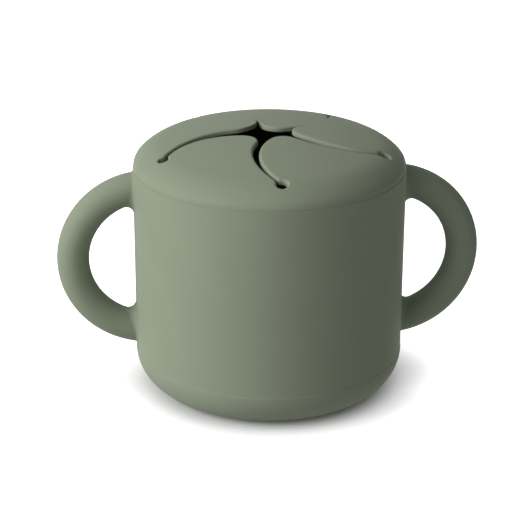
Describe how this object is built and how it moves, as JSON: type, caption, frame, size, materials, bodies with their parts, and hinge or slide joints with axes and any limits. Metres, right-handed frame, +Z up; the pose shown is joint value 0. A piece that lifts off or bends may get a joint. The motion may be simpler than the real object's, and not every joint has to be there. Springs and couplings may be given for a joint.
{
  "type": "toddler snack container",
  "caption": "Round two-handled toddler snack cup with a rounded base and a domed lift-off lid whose soft curved flaps meet round a star-shaped opening.",
  "frame": {"origin": "middle of the flat base, on the surface that the cup stands on", "axes": "+Z up along the cup's axis, the handles lie along +X and -X"},
  "size_m": [0.14, 0.089, 0.0871],
  "materials": {
    "cup_silicone": "matte",
    "lid_silicone": "matte"
  },
  "bodies": {
    "cup": {"cup_body": "cup_silicone", "left_handle": "cup_silicone", "right_handle": "cup_silicone"},
    "lid": {"lid_ring": "lid_silicone"},
    "flap_1": {"flap_1": "lid_silicone"},
    "flap_2": {"flap_2": "lid_silicone"},
    "flap_3": {"flap_3": "lid_silicone"},
    "flap_4": {"flap_4": "lid_silicone"},
    "flap_5": {"flap_5": "lid_silicone"}
  },
  "joints": [
    {"name": "lid_lift", "type": "slide", "parent": "cup", "child": "lid", "axis": [0, 0, 1], "range_m": [0, 0.1]},
    {"name": "flap_1_bend", "type": "hinge", "parent": "lid", "child": "flap_1", "pos_m": [0.01661, -0.02373, 0.08282], "axis": [-0.8192, -0.5736, 0], "range_deg": [-35, 65], "stiffness_Nm_per_rad": 0.02},
    {"name": "flap_2_bend", "type": "hinge", "parent": "lid", "child": "flap_2", "pos_m": [0.0277, 0.00847, 0.08282], "axis": [0.2924, -0.9563, 0], "range_deg": [-35, 65], "stiffness_Nm_per_rad": 0.02},
    {"name": "flap_3_bend", "type": "hinge", "parent": "lid", "child": "flap_3", "pos_m": [0.00051, 0.02896, 0.08282], "axis": [0.9998, -0.0175, 0], "range_deg": [-35, 65], "stiffness_Nm_per_rad": 0.02},
    {"name": "flap_4_bend", "type": "hinge", "parent": "lid", "child": "flap_4", "pos_m": [-0.02739, 0.00943, 0.08282], "axis": [0.3256, 0.9455, 0], "range_deg": [-35, 65], "stiffness_Nm_per_rad": 0.02},
    {"name": "flap_5_bend", "type": "hinge", "parent": "lid", "child": "flap_5", "pos_m": [-0.01743, -0.02313, 0.08282], "axis": [-0.7986, 0.6018, 0], "range_deg": [-35, 65], "stiffness_Nm_per_rad": 0.02}
  ]
}
